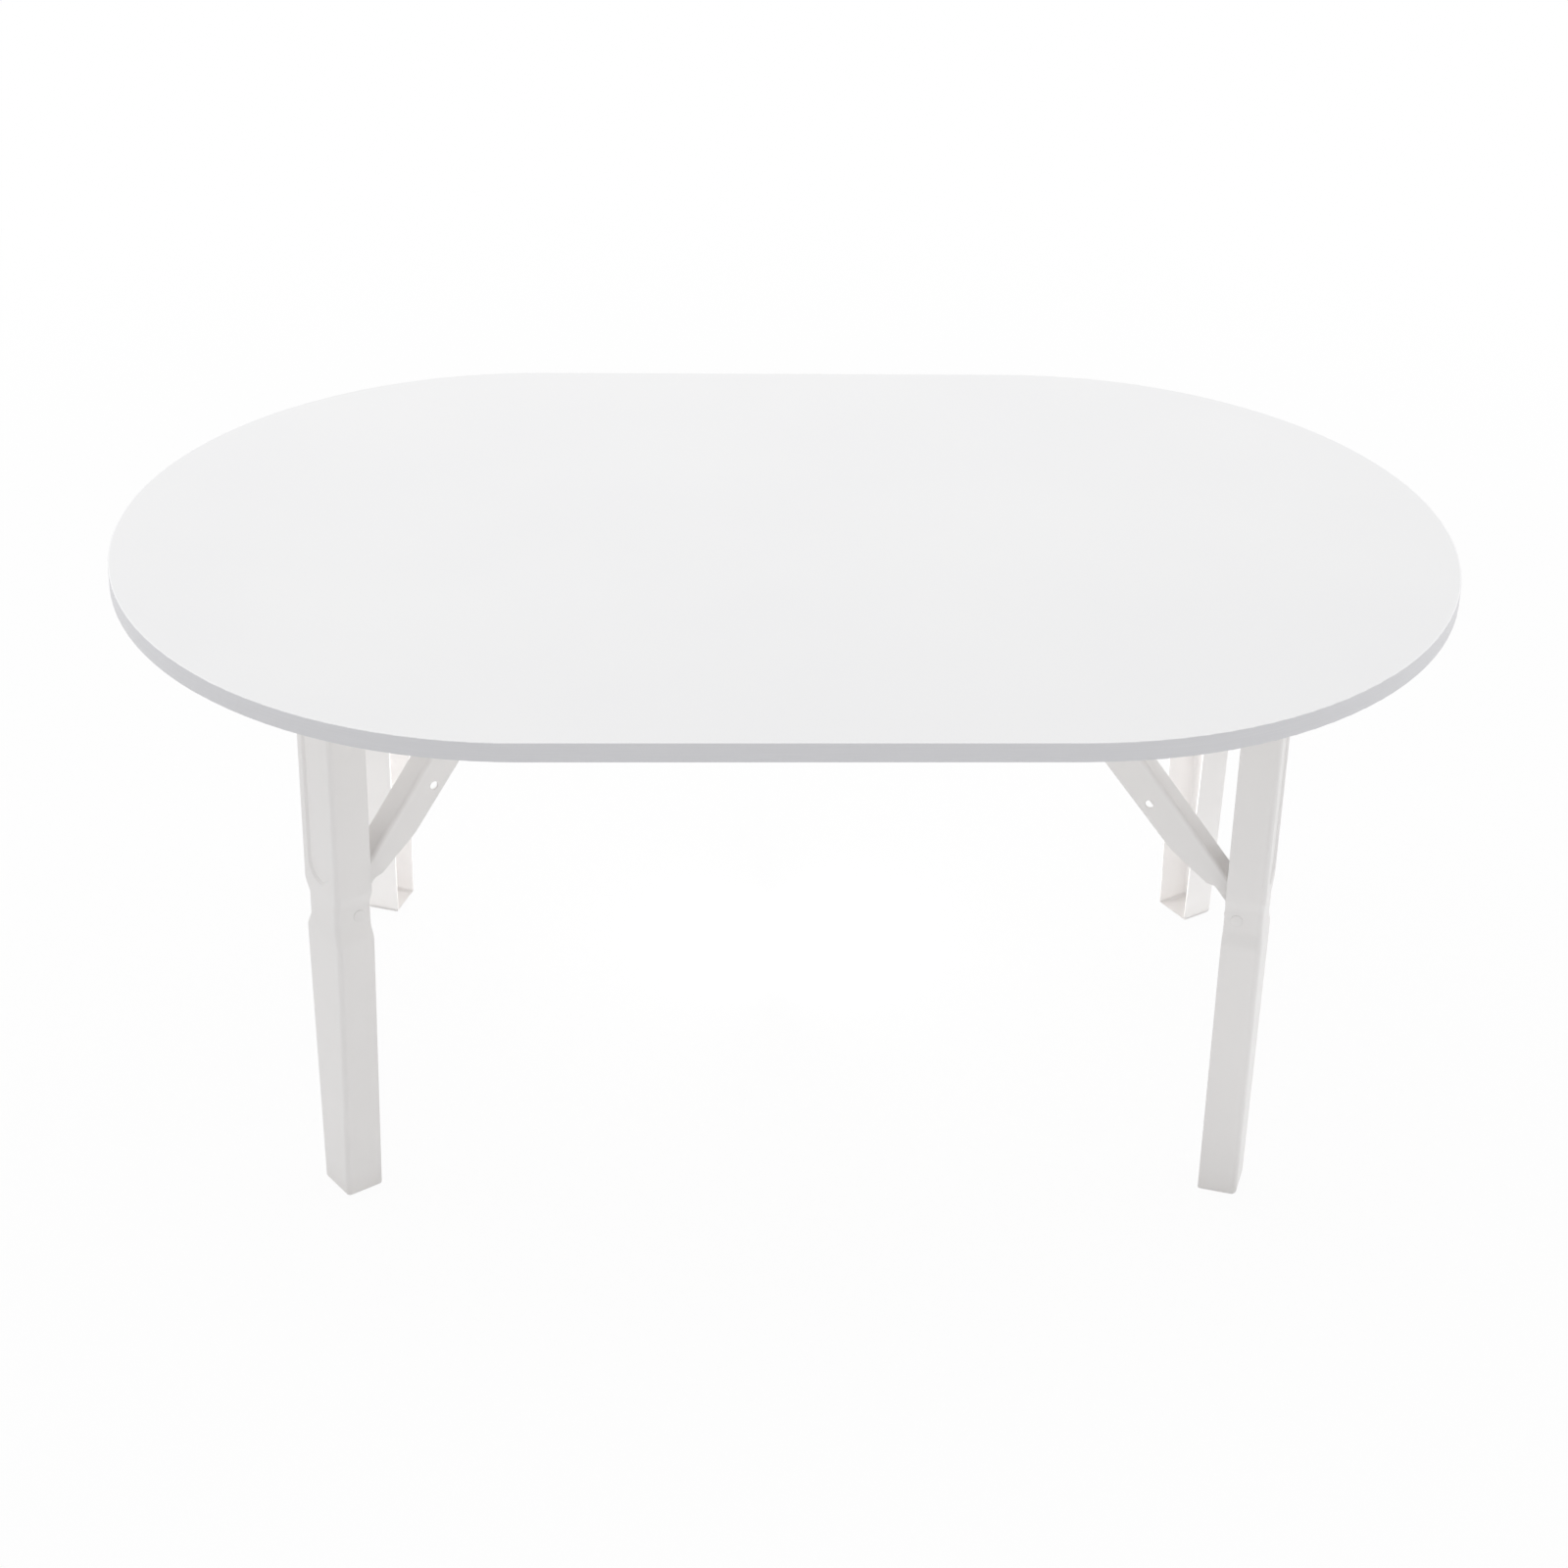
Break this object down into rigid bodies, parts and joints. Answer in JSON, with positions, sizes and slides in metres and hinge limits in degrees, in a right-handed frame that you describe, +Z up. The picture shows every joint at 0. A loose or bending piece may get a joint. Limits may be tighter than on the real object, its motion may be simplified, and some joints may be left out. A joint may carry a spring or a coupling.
{
  "type": "folding coffee table",
  "caption": "Folding coffee table: a white oval top on pressed channel legs that fold up flat under it, each held open by a hooked brace.",
  "frame": {"origin": "on the floor under the middle of the table top", "axes": "+X along the table's length, +Y towards its back, +Z up, standing on its open legs"},
  "size_m": [1, 0.62, 0.44],
  "materials": {
    "white_melamine": "white melamine facing on particle board, satin",
    "white_edging": "white plastic edge band, satin",
    "white_coating": "white powder coat on pressed steel, satin",
    "coated_rivet": "steel rivet, powder coated with its leg",
    "zinc_steel": "zinc plated",
    "spring_steel": "bare spring steel strip",
    "nylon": "natural nylon"
  },
  "bodies": {
    "table_top": {"table_top_board": "white_melamine", "edge_band": "white_edging", "bracket_screws": "zinc_steel", "leg_bracket_front_left": "white_coating", "hinge_pin_front_left": "zinc_steel", "hook_spring_front_left": "spring_steel", "leg_bracket_front_right": "white_coating", "hinge_pin_front_right": "zinc_steel", "hook_spring_front_right": "spring_steel", "leg_bracket_back_left": "white_coating", "hinge_pin_back_left": "zinc_steel", "hook_spring_back_left": "spring_steel", "leg_bracket_back_right": "white_coating", "hinge_pin_back_right": "zinc_steel", "hook_spring_back_right": "spring_steel"},
    "leg_front_left": {"leg_front_left": "white_coating", "brace_rivet_front_left": "coated_rivet", "brace_washers_front_left": "nylon"},
    "brace_front_left": {"brace_front_left": "white_coating", "hook_pin_front_left": "zinc_steel"},
    "leg_front_right": {"leg_front_right": "white_coating", "brace_rivet_front_right": "coated_rivet", "brace_washers_front_right": "nylon"},
    "brace_front_right": {"brace_front_right": "white_coating", "hook_pin_front_right": "zinc_steel"},
    "leg_back_left": {"leg_back_left": "white_coating", "brace_rivet_back_left": "coated_rivet", "brace_washers_back_left": "nylon"},
    "brace_back_left": {"brace_back_left": "white_coating", "hook_pin_back_left": "zinc_steel"},
    "leg_back_right": {"leg_back_right": "white_coating", "brace_rivet_back_right": "coated_rivet", "brace_washers_back_right": "nylon"},
    "brace_back_right": {"brace_back_right": "white_coating", "hook_pin_back_right": "zinc_steel"}
  },
  "joints": [
    {"name": "fold_front_left", "type": "hinge", "parent": "table_top", "child": "leg_front_left", "pos_m": [-0.3216, -0.198, 0.411], "axis": [0.5736, -0.8192, 0], "range_deg": [0, 90]},
    {"name": "brace_turn_front_left", "type": "hinge", "parent": "leg_front_left", "child": "brace_front_left", "pos_m": [-0.3216, -0.198, 0.244], "axis": [0.5736, -0.8192, 0], "range_deg": [-141.48, 0]},
    {"name": "fold_front_right", "type": "hinge", "parent": "table_top", "child": "leg_front_right", "pos_m": [0.3258, -0.205, 0.411], "axis": [0.309, 0.9511, 0], "range_deg": [0, 90]},
    {"name": "brace_turn_front_right", "type": "hinge", "parent": "leg_front_right", "child": "brace_front_right", "pos_m": [0.3258, -0.205, 0.244], "axis": [0.309, 0.9511, 0], "range_deg": [-141.48, 0]},
    {"name": "fold_back_left", "type": "hinge", "parent": "table_top", "child": "leg_back_left", "pos_m": [-0.319, 0.195, 0.411], "axis": [-0.3256, -0.9455, 0], "range_deg": [0, 90]},
    {"name": "brace_turn_back_left", "type": "hinge", "parent": "leg_back_left", "child": "brace_back_left", "pos_m": [-0.319, 0.195, 0.244], "axis": [-0.3256, -0.9455, 0], "range_deg": [-141.48, 0]},
    {"name": "fold_back_right", "type": "hinge", "parent": "table_top", "child": "leg_back_right", "pos_m": [0.353, 0.179, 0.411], "axis": [-0.515, 0.8572, 0], "range_deg": [0, 90]},
    {"name": "brace_turn_back_right", "type": "hinge", "parent": "leg_back_right", "child": "brace_back_right", "pos_m": [0.353, 0.179, 0.244], "axis": [-0.515, 0.8572, 0], "range_deg": [-141.48, 0]}
  ],
  "couplings": [
    {"joint": "brace_turn_front_left", "follows": "fold_front_left", "ratio": -1.5718},
    {"joint": "brace_turn_front_right", "follows": "fold_front_right", "ratio": -1.5718},
    {"joint": "brace_turn_back_left", "follows": "fold_back_left", "ratio": -1.5718},
    {"joint": "brace_turn_back_right", "follows": "fold_back_right", "ratio": -1.5718}
  ]
}
